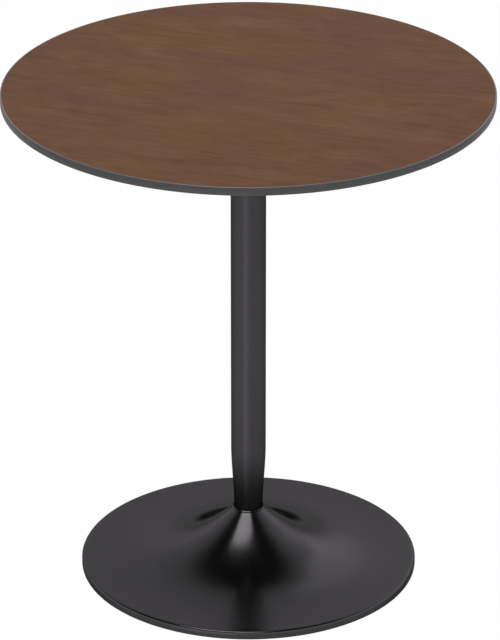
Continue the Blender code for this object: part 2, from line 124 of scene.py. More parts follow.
def add(tree, kind, sockets=None, **settings):
    """Add a node, set its options, and fill its sockets, by name or by place."""
    made = tree.nodes.new(kind)
    for option, value in settings.items():
        setattr(made, option, value)
    for name, value in (sockets or {}).items():
        fill(tree, made.inputs[name], value)
    return made


def put(tree, kind, sockets=None, **settings):
    """Add a node and hand out its outputs."""
    return add(tree, kind, sockets, **settings).outputs


def calc(tree, operation, *values):
    """One Math node; each value is a number or another node's output."""
    return put(tree, 'ShaderNodeMath', dict(enumerate(values)), operation=operation)[0]


def span(tree, value, low, high, to_low=0.0, to_high=1.0):
    """Carry a value from one range over to another, held at both ends."""
    ranges = {"From Min": low, "From Max": high, "To Min": to_low, "To Max": to_high}
    return put(tree, 'ShaderNodeMapRange', {"Value": value, **ranges})[0]


def add_socket(tree, name, kind, way='INPUT'):
    """A named socket on the outside of a tree."""
    return tree.interface.new_socket(name, in_out=way, socket_type='NodeSocket' + kind)


print("helpers ready")

# %% [markdown]
# ## The room
# The table stands in a white studio. A room could be modelled, but the black coat only needs what it
# mirrors. So the walls are a world that changes with height, pale low down and dark overhead, a little
# higher at the back and on the right. The floor looks plain white to the camera, lends mirrors a faint
# white only, and still takes a soft shadow.

# %% Walls
WALL_LEVELS = (
    # height looked at, brightness there
    (0.00, 0.80), (0.05, 1.05), (0.12, 1.24), (0.22, 1.24), (0.34, 1.08), (0.44, 0.75), (0.54, 0.62),
    (0.64, 0.50), (0.70, 0.34), (0.76, 0.17), (0.83, 0.05), (0.90, 0.01), (1.00, 0.00),
)
BACK_WALL_RISE = 0.109
RIGHT_WALL_RISE = 0.118

room = bpy.data.worlds.new("studio_walls")
room.use_nodes = True
scene.world = room
tree = room.node_tree
looking = put(tree, 'ShaderNodeTexCoord')["Generated"]
parts = put(tree, 'ShaderNodeSeparateXYZ', {"Vector": looking})
rise = calc(tree, 'MULTIPLY', parts["Y"], BACK_WALL_RISE)
rise = calc(tree, 'MULTIPLY_ADD', parts["X"], RIGHT_WALL_RISE, rise)
wall_ramp = add(tree, 'ShaderNodeValToRGB', {"Fac": calc(tree, 'SUBTRACT', parts["Z"], rise)})
stops = wall_ramp.color_ramp.elements
stops.remove(stops[1])
for place, level in WALL_LEVELS:
    stops.new(place).color = (level, level, level, 1.0)
stops.remove(stops[0])
fill(tree, tree.nodes["Background"].inputs["Color"], wall_ramp.outputs["Color"])
print("walls have", len(stops), "levels")

# %% Floor
FLOOR_HALF = 30.0
FLOOR_DROP = 0.0002
FLOOR_WHITENESS = 0.995
MIRRORED_WHITENESS = 0.05
FLOOR_PAINT = (0.30, 0.30, 0.30, 1.0)
WHITE = (1.0, 1.0, 1.0, 1.0)


def new_finish(name):
    """A material and its tree."""
    finish = bpy.data.materials.new(name)
    finish.use_nodes = True
    return finish, finish.node_tree


def stage_sheet(name, corners, finish):
    """A flat sheet that belongs to the studio and not to the table."""
    mesh = bpy.data.meshes.new(name)
    mesh.from_pydata(corners, [], [(0, 1, 2, 3)])
    mesh.materials.append(finish)
    sheet = link_object(name, mesh)
    return sheet


white_floor, tree = new_finish("white_floor")
tree.nodes.clear()
rays = put(tree, 'ShaderNodeLightPath')
mirrored = calc(tree, 'MULTIPLY', rays["Is Glossy Ray"], MIRRORED_WHITENESS)
seen = calc(tree, 'MAXIMUM', rays["Is Camera Ray"], mirrored)
seen = calc(tree, 'MAXIMUM', seen, rays["Is Transmission Ray"])
seen = calc(tree, 'MULTIPLY', seen, FLOOR_WHITENESS)
paint = put(tree, 'ShaderNodeBsdfDiffuse', {"Color": FLOOR_PAINT})[0]
glow = put(tree, 'ShaderNodeEmission', {"Color": WHITE, "Strength": 1.0})[0]
upper_side = put(tree, 'ShaderNodeMixShader', {0: seen, 1: paint, 2: glow})[0]
under_side = put(tree, 'ShaderNodeBsdfTransparent')[0]
back = put(tree, 'ShaderNodeNewGeometry')["Backfacing"]
one_way = put(tree, 'ShaderNodeMixShader', {0: back, 1: upper_side, 2: under_side})[0]
put(tree, 'ShaderNodeOutputMaterial', {"Surface": one_way})
corner_signs = ((-1, -1), (1, -1), (1, 1), (-1, 1))
floor_corners = [(FLOOR_HALF * x, FLOOR_HALF * y, -FLOOR_DROP) for x, y in corner_signs]
stage_sheet("studio_floor", floor_corners, white_floor)
print("floor is", 2 * FLOOR_HALF, "m wide")

# %% [markdown]
# ## The lamps
# A softbox overhead lights the wood, and a tall, weak one behind on the right is mirrored by the disc
# of the base. A wide board on the floor sends light up to the edge and the tube. Two small panels
# under the top draw the bright tongue on the cone, and a glowing card on the floor, unseen but in
# mirrors, the upright highlight on the tube. Spot lamps would be too sharp, so all are areas.

# %% Lamps
LAMPS = (
    # name, place, target, width, height, watts, spin about its own axis in degrees
    ("key_softbox", (-0.25, 0.05, 3.45), (-0.05, 0.0, 0.75), 1.8, 1.4, 64.0, 0.0),
    ("back_softbox", (1.11, 2.75, 1.9), (0.0, 0.0, 0.05), 1.1, 2.0, 3.2, 0.0),
    ("bounce_board", (0.0, 0.0, 0.001), (0.0, 0.0, 1.0), 3.8, 4.4, 20.2, 0.0),
    ("cone_panel", (-0.130, -0.268, 0.64), (-0.130, -0.268, 0.0), 0.44, 0.25, 1.00, -20.0),
    ("cone_panel_outer", (-0.168, -0.327, 0.64), (-0.168, -0.327, 0.0), 0.40, 0.17, 0.75, -24.0),
)
for name, place, target, width, tall, watts, spin in LAMPS:
    lamp_data = bpy.data.lights.new(name, 'AREA')
    lamp_data.shape = 'RECTANGLE'
    lamp_data.size = width
    lamp_data.size_y = tall
    lamp_data.energy = watts
    lamp = link_object(name, lamp_data)
    lamp.location = place
    aim(lamp, Vector(target))
    lamp.rotation_euler.rotate_axis('Z', math.radians(spin))
    lamp.visible_camera = False
    print(name, watts, "W")

# %% Floor card
CARD_NEAR = 0.27
CARD_FAR = 1.70
CARD_HEIGHT = 0.002
CARD_AIM_DEG = -17.0
CARD_HALF_DEG = 13.0
CARD_STRENGTH = 1.16
card_corners = []
for reach, side in ((CARD_NEAR, -1), (CARD_FAR, -1), (CARD_FAR, 1), (CARD_NEAR, 1)):
    bearing = math.radians(CARD_AIM_DEG + side * CARD_HALF_DEG)
    card_corners.append((reach * math.sin(bearing), -reach * math.cos(bearing), CARD_HEIGHT))
card_glow, tree = new_finish("card_glow")
tree.nodes.clear()
glow = put(tree, 'ShaderNodeEmission', {"Color": WHITE, "Strength": CARD_STRENGTH})[0]
put(tree, 'ShaderNodeOutputMaterial', {"Surface": glow})
card = stage_sheet("floor_card", card_corners, card_glow)
card.visible_camera = False
card.visible_shadow = False
print("floor card reaches from", CARD_NEAR, "to", CARD_FAR, "m")

# %% [markdown]
# ## Effects that several finishes share
# A streak is a noise stretched along one direction: wood fibres, rolling marks on steel and turning
# marks are all streaks. A coat's skin is a fine dimpled noise with a broad, cloudy one for the places
# that hands and cloths have dulled. Each is a node group, built once and placed in each finish.

# %% Shared node groups


def new_group(name, numbers, outputs):
    """A shader node group that takes a place and some numbers, with their start values."""
    group = bpy.data.node_groups.new(name, 'ShaderNodeTree')
    add_socket(group, "Vector", 'Vector')
    for socket, start in numbers.items():
        add_socket(group, socket, 'Float').default_value = start
    for socket in outputs:
        add_socket(group, socket, 'Float', 'OUTPUT')
    return group, put(group, 'NodeGroupInput'), add(group, 'NodeGroupOutput').inputs


streaks, given, result = new_group(
    "long_streaks", {"Along": 1.0, "Across": 50.0, "Detail": 3.0, "Low": 0.3, "High": 0.7}, ["Streak"])
stretch = put(streaks, 'ShaderNodeCombineXYZ', {"X": given["Along"], "Y": given["Across"]})[0]
stretched = put(streaks, 'ShaderNodeVectorMath', {0: given["Vector"], 1: stretch}, operation='MULTIPLY')
noise = put(streaks, 'ShaderNodeTexNoise', {
    "Vector": stretched[0], "Scale": 1.0, "Detail": given["Detail"], "Roughness": 0.55})
fill(streaks, result["Streak"], span(streaks, noise[0], given["Low"], given["High"]))

skin, given, result = new_group("coat_skin", {"Dimple Scale": 700.0, "Cloud Scale": 6.0}, ["Height", "Cloud"])
dimples = put(skin, 'ShaderNodeTexNoise', {
    "Vector": given["Vector"], "Scale": given["Dimple Scale"], "Detail": 2.0})
clouds = put(skin, 'ShaderNodeTexNoise', {
    "Vector": given["Vector"], "Scale": given["Cloud Scale"], "Detail": 4.0, "Roughness": 0.6})
fill(skin, result["Height"], dimples[0])
fill(skin, result["Cloud"], clouds[0])
print("groups:", streaks.name, skin.name)

# %% [markdown]
# ## The wood face
# The face is a brown wood veneer whose grain runs from the back left to the front right. A picture of
# wood could be wrapped on it, but a pattern made of numbers has no seam and no edge. Six layers of
# streaks are laid over a middle brown, from broad bands of growth to thin darker lines, and then fine
# fibres and short open pores. A slow noise bends them all alike, as a tree does.

# %% Tools for finishes
FINISHES = {}


def start_finish(name, slot):
    """A finish for a material slot: its tree and the Object coordinates to draw on."""
    FINISHES[slot], tree = new_finish(name)
    print("finish:", name)
    return tree, put(tree, 'ShaderNodeTexCoord')["Object"]


def use_group(tree, group, *values):
    """Place a shared group in a finish; the values come in the order of its sockets."""
    return put(tree, 'ShaderNodeGroup', dict(enumerate(values)), node_tree=group)


def mix_colour(tree, share, first, second, how='MIX'):
    """Mix two colours; each is a tuple or another node's output."""
    mixed = {0: share, 6: first, 7: second}
    return put(tree, 'ShaderNodeMix', mixed, data_type='RGBA', blend_type=how)[2]


def dress(tree, colour, rough, height, strength, depth, **more):
    """Give a finish's shader its colour, its roughness, a bump, and what else it needs."""
    bump = put(tree, 'ShaderNodeBump', {"Height": height, "Strength": strength, "Distance": depth})[0]
    for name, value in {"Base Color": colour, "Roughness": rough, "Normal": bump, **more}.items():
        fill(tree, tree.nodes["Principled BSDF"].inputs[name.replace("_", " ")], value)


print("tools ready")

# %% Wood veneer
GRAIN_TURN_DEG = 17.0
GRAIN_SWAY = 0.045
FIBRE_SHARE = 0.32
PORE_SHARE = 0.40
VENEER_MID = (0.1138, 0.0482, 0.0209, 1.0)
VENEER_LIGHT = (0.1498, 0.0695, 0.0331, 1.0)
VENEER_DARK = (0.0634, 0.0256, 0.0112, 1.0)
VENEER_GOLD = (0.1300, 0.0585, 0.0212, 1.0)
VENEER_GREY = (0.1037, 0.0504, 0.0288, 1.0)
VENEER_RED = (0.1210, 0.0439, 0.0216, 1.0)
VENEER_LAYERS = (
    # colour, share, then the along, across, detail, low and high of its streaks
    (VENEER_LIGHT, 1.00, 7.0, 27.0, 3.0, 0.30, 0.70),
    (VENEER_GOLD, 0.90, 4.2, 9.0, 3.0, 0.47, 0.62),
    (VENEER_GREY, 0.80, 3.8, 8.0, 3.0, 0.48, 0.64),
    (VENEER_RED, 0.62, 6.0, 12.0, 3.0, 0.48, 0.68),
    (VENEER_DARK, 0.26, 30.0, 40.0, 3.0, 0.40, 0.70),
    (VENEER_DARK, 0.55, 4.5, 95.0, 4.0, 0.54, 0.74),
)
FIBRES = (20.0, 260.0, 3.0, 0.30, 0.70)
PORES = (42.0, 1300.0, 1.0, 0.60, 0.70)

tree, place = start_finish("brown_veneer", "wood_face")
turned_place = put(tree, 'ShaderNodeMapping', {
    "Vector": place, "Rotation": (0.0, 0.0, math.radians(GRAIN_TURN_DEG))})[0]
bend = put(tree, 'ShaderNodeTexNoise', {"Vector": turned_place, "Scale": 6.0, "Detail": 3.0})[0]
bend = calc(tree, 'MULTIPLY', calc(tree, 'SUBTRACT', bend, 0.5), GRAIN_SWAY)
sway = put(tree, 'ShaderNodeCombineXYZ', {"Y": bend})[0]
grain = put(tree, 'ShaderNodeVectorMath', {0: turned_place, 1: sway}, operation='ADD')[0]
colour = VENEER_MID
for number, (tint, share, *streak) in enumerate(VENEER_LAYERS):
    shift = (1.7 * number, 0.9 * number, 0.0)
    shifted = put(tree, 'ShaderNodeVectorMath', {0: grain, 1: shift}, operation='ADD')[0]
    layer = use_group(tree, streaks, shifted, *streak)[0]
    colour = mix_colour(tree, calc(tree, 'MULTIPLY', layer, share), colour, tint)
fibres = use_group(tree, streaks, grain, *FIBRES)[0]
pores = use_group(tree, streaks, grain, *PORES)[0]
colour = mix_colour(tree, calc(tree, 'MULTIPLY', fibres, FIBRE_SHARE), colour, VENEER_DARK)
colour = mix_colour(tree, calc(tree, 'MULTIPLY', pores, PORE_SHARE), colour, VENEER_DARK)
relief = calc(tree, 'SUBTRACT', calc(tree, 'MULTIPLY', fibres, 0.4), pores)
rough = span(tree, fibres, 0.0, 1.0, 0.46, 0.58)
dress(tree, colour, rough, relief, 0.25, 0.0002, Specular_IOR_Level=0.05)

# %% [markdown]
# ## The black coat
# Tube, base and top plate wear a smooth satin black that mirrors about a twentieth of what it faces.
# A dielectric would flare up at grazing angles, so the coat is a very dark metal whose edge tint falls
# off there. It is glossiest on the cone: feet have scuffed the disc and hands have dulled the tube, so
# its roughness follows the distance from the axis and the height. The skin group makes it uneven.

# %% Satin black coat
COAT_COLOUR = (0.0760, 0.0721, 0.0767, 1.0)
COAT_ROUGHNESS = (0.165, 0.215)
PEEL = 0.04
SCUFF = 0.065
SCUFF_REACH = (0.13, 0.19)
LIP_REACH = (0.232, 0.241)
HANDLED = 0.13
collar_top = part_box("base_shell")[1].z

tree, place = start_finish("satin_black_coat", "black_coat")
coat_skin = use_group(tree, skin, place, 900.0, 7.0)
flat_place = put(tree, 'ShaderNodeVectorMath', {0: place, 1: (1.0, 1.0, 0.0)}, operation='MULTIPLY')[0]
reach = put(tree, 'ShaderNodeVectorMath', {0: flat_place}, operation='LENGTH')["Value"]
level = put(tree, 'ShaderNodeSeparateXYZ', {"Vector": place})["Z"]
scuffed = span(tree, reach, *SCUFF_REACH, 0.0, SCUFF)
scuffed = calc(tree, 'MULTIPLY', scuffed, span(tree, reach, *LIP_REACH, 1.0, 0.0))
handled = span(tree, level, collar_top - 0.006, collar_top + 0.06, 0.0, HANDLED)
peel = span(tree, coat_skin["Height"], 0.3, 0.7, -PEEL, PEEL)
dulled = calc(tree, 'ADD', calc(tree, 'MAXIMUM', scuffed, handled), peel)
rough = calc(tree, 'ADD', span(tree, coat_skin["Cloud"], 0.0, 1.0, *COAT_ROUGHNESS), dulled)
tone = span(tree, coat_skin["Cloud"], 0.0, 1.0, 0.94, 1.06)
colour = mix_colour(tree, 1.0, COAT_COLOUR, tone, 'MULTIPLY')
facing = put(tree, 'ShaderNodeLayerWeight', {"Blend": 0.5})["Facing"]
edge_tint = span(tree, facing, 0.77, 0.89, 0.42, 0.12)
dress(tree, colour, rough, coat_skin["Height"], 0.05, 0.0001, Metallic=1.0, Specular_Tint=edge_tint)

# %% [markdown]
# ## Black plastics and the raw board
# The edge band is a black plastic with a fine satin grain, the sheet under the board a duller black,
# the pads a soft dark grey, and the board itself a pressed fibre. They could each have a pattern of
# their own, but all are pressed or rolled, so they share the skin group with their own scales.

# %% Plastics and board


def pressed_finish(name, slot, dark, light, rough_low, rough_high, dimple, cloud, depth):
    """A pressed or rolled material: dimpled skin, cloudy tone and dullness."""
    tree, place = start_finish(name, slot)
    surface = use_group(tree, skin, place, dimple, cloud)
    colour = mix_colour(tree, surface["Cloud"], (*dark, 1.0), (*light, 1.0))
    rough = span(tree, surface["Cloud"], 0.0, 1.0, rough_low, rough_high)
    dress(tree, colour, rough, surface["Height"], 0.3, depth)


pressed_finish("black_edge_plastic", "black_edge", (0.078, 0.075, 0.077), (0.095, 0.091, 0.094),
               0.36, 0.44, 1400.0, 9.0, 0.00005)
pressed_finish("black_backing_sheet", "black_backing", (0.009, 0.009, 0.010), (0.015, 0.015, 0.016),
               0.55, 0.66, 1800.0, 5.0, 0.00005)
pressed_finish("soft_pad_plastic", "pad_plastic", (0.020, 0.020, 0.020), (0.032, 0.032, 0.032),
               0.50, 0.62, 1200.0, 60.0, 0.0001)
pressed_finish("pressed_fibre_board", "fibre_board", (0.24, 0.155, 0.085), (0.34, 0.23, 0.13),
               0.80, 0.92, 900.0, 120.0, 0.0002)

# %% [markdown]
# ## Metals
# The plate and the hubs in the base are bare rolled or turned steel, the screws are zinc plated, and
# the inserts in the board are brass. A flat grey would look like plastic: metal shows by the fine
# lines that a roll or a lathe leaves, so the streak group sets its tone and its roughness.

# %% Steel, zinc and brass


def metal_finish(name, slot, dark, light, rough_low, rough_high, along, across):
    """A metal with the fine lines of its making in tone and roughness."""
    tree, place = start_finish(name, slot)
    marks = use_group(tree, streaks, place, along, across)[0]
    colour = mix_colour(tree, marks, (*dark, 1.0), (*light, 1.0))
    rough = span(tree, marks, 0.0, 1.0, rough_low, rough_high)
    dress(tree, colour, rough, marks, 0.1, 0.00005, Metallic=1.0)


metal_finish("mill_steel", "bare_steel", (0.17, 0.17, 0.18), (0.27, 0.27, 0.28), 0.38, 0.52, 6.0, 420.0)
metal_finish("zinc_plating", "zinc_plate", (0.50, 0.51, 0.53), (0.62, 0.63, 0.65), 0.24, 0.36, 900.0, 900.0)
metal_finish("turned_brass", "brass", (0.52, 0.36, 0.12), (0.66, 0.48, 0.19), 0.22, 0.34, 700.0, 900.0)

# %% [markdown]
# ## Turning a piece
# The face, the edge band and the tube are bodies of revolution. A Screw modifier would do, but its
# poles and seams then need mending. The helper below sweeps a half section by hand: each point becomes
# a ring, a point on the axis a pole, and neighbouring rings are joined.

# %% Lathe


def keep_piece(mesh, slot, nodes, body="table"):
    """Link a mesh as a piece with its slot's finish, on a body, in place of CAD nodes."""
    mesh.materials.clear()
    mesh.materials.append(FINISHES[slot])
    piece = link_object(mesh.name, mesh)
    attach(piece, body)
    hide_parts(*nodes)
    print(mesh.name, "has", len(mesh.polygons), "faces")


def smooth_mesh(name, shape, sharp_deg=38.0):
    """Point the faces outwards, then shade smooth except at real edges."""
    bmesh.ops.remove_doubles(shape, verts=shape.verts, dist=0.000001)
    bmesh.ops.recalc_face_normals(shape, faces=shape.faces)
    open_edges = sum(1 for edge in shape.edges if len(edge.link_faces) != 2)
    print(name, "open edges:", open_edges)
    mesh = bpy.data.meshes.new(name)
    shape.to_mesh(mesh)
    shape.free()
    mesh.shade_smooth()
    mesh.set_sharp_from_angle(angle=math.radians(sharp_deg))
    return mesh


def turn_piece(name, section, sides):
    """Sweep (radius, height) points round the Z axis into a closed body."""
    shape = bmesh.new()
    rings = []
    for radius, height in section:
        count = sides if radius > 0.0 else 1
        turns = [2.0 * math.pi * step / sides for step in range(count)]
        rings.append([shape.verts.new((radius * math.cos(t), radius * math.sin(t), height)) for t in turns])
    pairs = list(zip(rings, rings[1:]))
    if len(rings[0]) > 1 and len(rings[-1]) > 1:
        pairs.append((rings[-1], rings[0]))
    for first, second in pairs:
        for step in range(sides):
            after = (step + 1) % sides
            corners = [first[step % len(first)], first[after % len(first)],
                       second[after % len(second)], second[step % len(second)]]
            shape.faces.new(list(dict.fromkeys(corners)))
    return smooth_mesh(name, shape)


def arc(centre, radius, start_deg, end_deg, steps=6):
    """Section points on an arc, for a rounded edge."""
    turns = [math.radians(start_deg + (end_deg - start_deg) * step / steps) for step in range(steps + 1)]
    return [(centre[0] + radius * math.cos(t), centre[1] + radius * math.sin(t)) for t in turns]


print("lathe ready")

# %% [markdown]
# ## The top: face and edge band
# The face is a thin sheet glued on the board. The edge band is a strip of black plastic round it whose
# upper and lower arrises are scraped off at 45 degrees; the upper one catches the light as a thin
# line. Both are turned with many sides, so that the outline stays round close up.

# %% Face and edge band
face_low, face_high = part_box("wood_face")
band_low, band_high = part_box("edge_band")
TOP_RADIUS = band_high.x
BAND_WIDTH = 0.0020
BAND_ARRIS = 0.0008
ARRIS_EASE = 0.0003
GLUE_GAP = 0.00005
TOP_SIDES = 360
band_inner = TOP_RADIUS - BAND_WIDTH
face_radius = band_inner - GLUE_GAP
face_section = [(0.0, face_low.z), (face_radius, face_low.z)]
face_section += arc((face_radius - ARRIS_EASE, face_high.z - ARRIS_EASE), ARRIS_EASE, 0, 90, 3)
for radius in (face_radius - 4 * ARRIS_EASE, face_radius * 0.66, face_radius * 0.33, 0.0):
    face_section.append((radius, face_high.z))
keep_piece(turn_piece("veneer_face", face_section, TOP_SIDES), "wood_face", ["wood_face"])

ease = ARRIS_EASE * math.tan(math.radians(22.5))


def eased_arris(radius, height, upward):
    """The scraped arris at the rim, with its two corners eased."""
    turn = 1.0 if upward else -1.0
    outer = (radius, height - turn * BAND_ARRIS)
    upper = (radius - BAND_ARRIS, height)
    points = [(outer[0], outer[1] - turn * ease), (outer[0] - ease * 0.3, outer[1] + turn * ease * 0.45),
              (upper[0] + ease * 0.45, upper[1] - turn * ease * 0.3), (upper[0] - ease, upper[1])]
    return points if upward else points[::-1]


band_section = [(band_inner, band_low.z)]
band_section += eased_arris(TOP_RADIUS, band_low.z, False)
band_section += eased_arris(TOP_RADIUS, band_high.z, True)
band_section += [(band_inner, band_high.z)]
keep_piece(turn_piece("edge_strip", band_section, TOP_SIDES), "black_edge", ["edge_band"])

# %% [markdown]
# ## The tube
# The column is one steel tube, straight for most of its height. Its foot was swaged, that is pressed
# in through a die, so its radius falls in a soft S to fit the collar of the base. The S is the curve
# 3t^2 - 2t^3, which starts and ends without a kink.

# %% Column tube
tube_low, tube_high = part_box("column_tube")
TUBE_RADIUS = tube_high.x
TUBE_FOOT_RADIUS = 0.021
TUBE_WALL = 0.0018
TUBE_SIDES = 128
SWAGE_LENGTH = 0.098
SWAGE_STEPS = 40


def tube_radius(height):
    """Outside radius of the tube at a height."""
    share = min(1.0, max(0.0, (height - collar_top) / SWAGE_LENGTH))
    return TUBE_FOOT_RADIUS + (TUBE_RADIUS - TUBE_FOOT_RADIUS) * share * share * (3.0 - 2.0 * share)


swage_heights = [collar_top + SWAGE_LENGTH * step / SWAGE_STEPS for step in range(SWAGE_STEPS + 1)]
tube_outside = [(tube_radius(z), z) for z in [tube_low.z, *swage_heights, tube_high.z]]
tube_inside = [(radius - TUBE_WALL, z) for radius, z in reversed(tube_outside)]
keep_piece(turn_piece("column", tube_outside + tube_inside, TUBE_SIDES), "black_coat", ["column_tube"])

# %% [markdown]
# ## The trumpet base
# The base is one sheet of steel, spun over a form: a short collar round the tube, a cone that eases
# into a flat disc, and a turned-down lip. Its height follows a rule, a cone rounded off by a
# logarithm, so Geometry Nodes can write the rule down once with named sizes. A grid is the start: its
# columns become angles round the axis and its rows places along the section.

# %% Grids wrapped round the axis


def new_tree(name, sizes, with_material=True):
    """A Geometry Nodes tree with named size inputs and one geometry output."""
    tree = bpy.data.node_groups.new(name, 'GeometryNodeTree')
    add_socket(tree, "Geometry", 'Geometry', 'OUTPUT')
    for size in sizes:
        add_socket(tree, size, 'Int' if size in ("Sides", "Rows", "Count") else 'Float')
    if with_material:
        add_socket(tree, "Finish", 'Material')
    return tree, put(tree, 'NodeGroupInput'), add(tree, 'NodeGroupOutput').inputs[0]


def blend_of(tree, first, second, share):
    """first + (second - first) * share, with Math nodes."""
    step = calc(tree, 'MULTIPLY', calc(tree, 'SUBTRACT', second, first), share)
    return calc(tree, 'ADD', first, step)


def grid_of_rings(tree, sides, rows):
    """A grid mesh with its angle round the axis and its share along the section."""
    columns = calc(tree, 'ADD', sides, 1.0)
    grid = put(tree, 'GeometryNodeMeshGrid', {"Vertices X": columns, "Vertices Y": rows})
    index = put(tree, 'GeometryNodeInputIndex')[0]
    column = calc(tree, 'FLOOR', calc(tree, 'DIVIDE', calc(tree, 'ADD', index, 0.5), rows))
    row = calc(tree, 'SUBTRACT', index, calc(tree, 'MULTIPLY', column, rows))
    angle = calc(tree, 'DIVIDE', calc(tree, 'MULTIPLY', column, 2.0 * math.pi), sides)
    share = calc(tree, 'DIVIDE', row, calc(tree, 'SUBTRACT', rows, 1.0))
    return grid["Mesh"], angle, share


def spot_at(tree, radius, angle, height):
    """The point at a radius, an angle and a height."""
    x = calc(tree, 'MULTIPLY', radius, calc(tree, 'COSINE', angle))
    y = calc(tree, 'MULTIPLY', radius, calc(tree, 'SINE', angle))
    return put(tree, 'ShaderNodeCombineXYZ', {"X": x, "Y": y, "Z": height})[0]


def wrap_grid(tree, tree_end, mesh, radius, angle, height):
    """Move a grid's points to their spots and hand the grid out."""
    moved = {"Geometry": mesh, "Position": spot_at(tree, radius, angle, height)}
    fill(tree, tree_end, put(tree, 'GeometryNodeSetPosition', moved)[0])


print("grid helpers ready")

# %% Turned strip in Geometry Nodes
strip, sizes, strip_end = new_tree("turned_strip", [
    "Sides", "Rows", "Start Radius", "Start Height", "End Radius", "End Height", "Round",
    "Start Hexagon", "End Hexagon", "Thread Depth", "Thread Pitch"], with_material=False)
mesh, angle, share = grid_of_rings(strip, sizes["Sides"], sizes["Rows"])
op = partial(calc, strip)
between = partial(blend_of, strip)
quarter = op('MULTIPLY', share, math.pi / 2)
late = op('SUBTRACT', 1.0, op('COSINE', quarter))
early = op('SINE', quarter)
outward = op('MAXIMUM', sizes["Round"], 0.0)
inward = op('MAXIMUM', op('MULTIPLY', sizes["Round"], -1.0), 0.0)
radius_share = between(between(share, late, outward), early, inward)
height_share = between(between(share, early, outward), late, inward)
radius = between(sizes["Start Radius"], sizes["End Radius"], radius_share)
height = between(sizes["Start Height"], sizes["End Height"], height_share)
sixth = op('SUBTRACT', op('MODULO', angle, math.pi / 3), math.pi / 6)
corner = op('DIVIDE', radius, op('COSINE', sixth))
hexagon = between(sizes["Start Hexagon"], sizes["End Hexagon"], share)
radius = between(radius, corner, hexagon)
turns = op('DIVIDE', height, op('MAXIMUM', sizes["Thread Pitch"], 0.0001))
turns = op('SUBTRACT', turns, op('DIVIDE', angle, 2.0 * math.pi))
ridge = op('MULTIPLY', op('PINGPONG', turns, 0.5), 2.0)
near_end = op('MINIMUM', share, op('SUBTRACT', 1.0, share))
fade = op('MINIMUM', op('MULTIPLY', near_end, 12.0), 1.0)
cut = op('MULTIPLY', op('MULTIPLY', ridge, fade), sizes["Thread Depth"])
radius = op('SUBTRACT', radius, cut)
wrap_grid(strip, strip_end, mesh, radius, angle, height)
print("tree:", strip.name, "with", len(strip.nodes), "nodes")

# %% [markdown]
# ## The rule of the flare
# A strip alone gives straight and quarter-round sections. The flare has a tree of its own: height is
# disc + slope x blend x ln(1 + e^((knee - radius) / blend)). Far out the logarithm fades and the disc
# is flat; close to the axis it is a straight cone. The inner wall is the same curve, set in square to
# the sheet by its thickness.

# %% Flare strip
flare, sizes, flare_end = new_tree("flare_strip", [
    "Sides", "Rows", "Inner Radius", "Outer Radius", "Disc Height", "Cone Rise", "Slope", "Blend",
    "Depth"], with_material=False)
mesh, angle, share = grid_of_rings(flare, sizes["Sides"], sizes["Rows"])
op = partial(calc, flare)
share = op('POWER', share, 1.3)
radius = blend_of(flare, sizes["Inner Radius"], sizes["Outer Radius"], share)
steep = op('MULTIPLY', sizes["Slope"], sizes["Blend"])
rise = op('EXPONENT', op('DIVIDE', sizes["Cone Rise"], steep))
knee = op('LOGARITHM', op('SUBTRACT', rise, 1.0), math.e)
knee = op('ADD', sizes["Inner Radius"], op('MULTIPLY', sizes["Blend"], knee))
swell = op('EXPONENT', op('DIVIDE', op('SUBTRACT', knee, radius), sizes["Blend"]))
swell_more = op('ADD', swell, 1.0)
ease_off = op('LOGARITHM', swell_more, math.e)
height = op('ADD', sizes["Disc Height"], op('MULTIPLY', steep, ease_off))
slope = op('MULTIPLY', sizes["Slope"], op('DIVIDE', swell, swell_more))
tilt = op('ARCTANGENT', slope)
radius = op('SUBTRACT', radius, op('MULTIPLY', sizes["Depth"], op('SINE', tilt)))
height = op('SUBTRACT', height, op('MULTIPLY', sizes["Depth"], op('COSINE', tilt)))
wrap_grid(flare, flare_end, mesh, radius, angle, height)
print("tree:", flare.name, "with", len(flare.nodes), "nodes")

# %% [markdown]
# ## Strips along a section
# A section is a chain of strips, each from one radius and height to the next. They meet edge to edge,
# so a merge closes them into one sheet. The tree is then turned into a plain mesh, because what is
# handed on has to carry its own shape.

# %% Strip helpers
STRAIGHT = {"Rows": 2, "Round": 0.0, "Start Hexagon": 0.0, "End Hexagon": 0.0,
            "Thread Depth": 0.0, "Thread Pitch": 0.0}
TO_HEXAGON = {"End Hexagon": 1.0}
HEXAGON = {"Start Hexagon": 1.0, "End Hexagon": 1.0}
FROM_HEXAGON = {"Start Hexagon": 1.0}


def rounded(rows, bow):
    """A quarter round in some rows: 1 sets off along the height, -1 along the radius."""
    return {"Rows": rows, "Round": bow}


def threaded(rows, depth, pitch):
    """A thread in some rows, with its depth and its pitch."""
    return {"Rows": rows, "Thread Depth": depth, "Thread Pitch": pitch}


def section_rows(start, *steps):
    """Sizes of a chain of strips: a step is the next radius and height, and the way there."""
    rows = []
    for radius, height, *way in steps:
        row = {"Start Radius": start[0], "Start Height": start[1], "End Radius": radius, "End Height": height}
        rows.append({**STRAIGHT, **row, **(way[0] if way else {})})
        start = (radius, height)
    return rows


def add_strips(tree, sides, rows, merge_gap=0.000002):
    """Place one strip for each row of sizes and merge them edge to edge."""
    joined = add(tree, 'GeometryNodeJoinGeometry')
    for row in rows:
        values = {"Sides": sides, **row}
        group = values.pop("Group", strip)
        fill(tree, joined.inputs[0], put(tree, 'GeometryNodeGroup', values, node_tree=group)[0])
    merge = {"Geometry": joined.outputs[0], "Distance": merge_gap}
    return put(tree, 'GeometryNodeMergeByDistance', merge)[0]


def finish_tree(tree, shape, finish, tree_end):
    """Realize what the tree made, give it its finish and hand it out."""
    real = put(tree, 'GeometryNodeRealizeInstances', {"Geometry": shape})[0]
    fill(tree, tree_end, put(tree, 'GeometryNodeSetMaterial', {"Geometry": real, "Material": finish})[0])


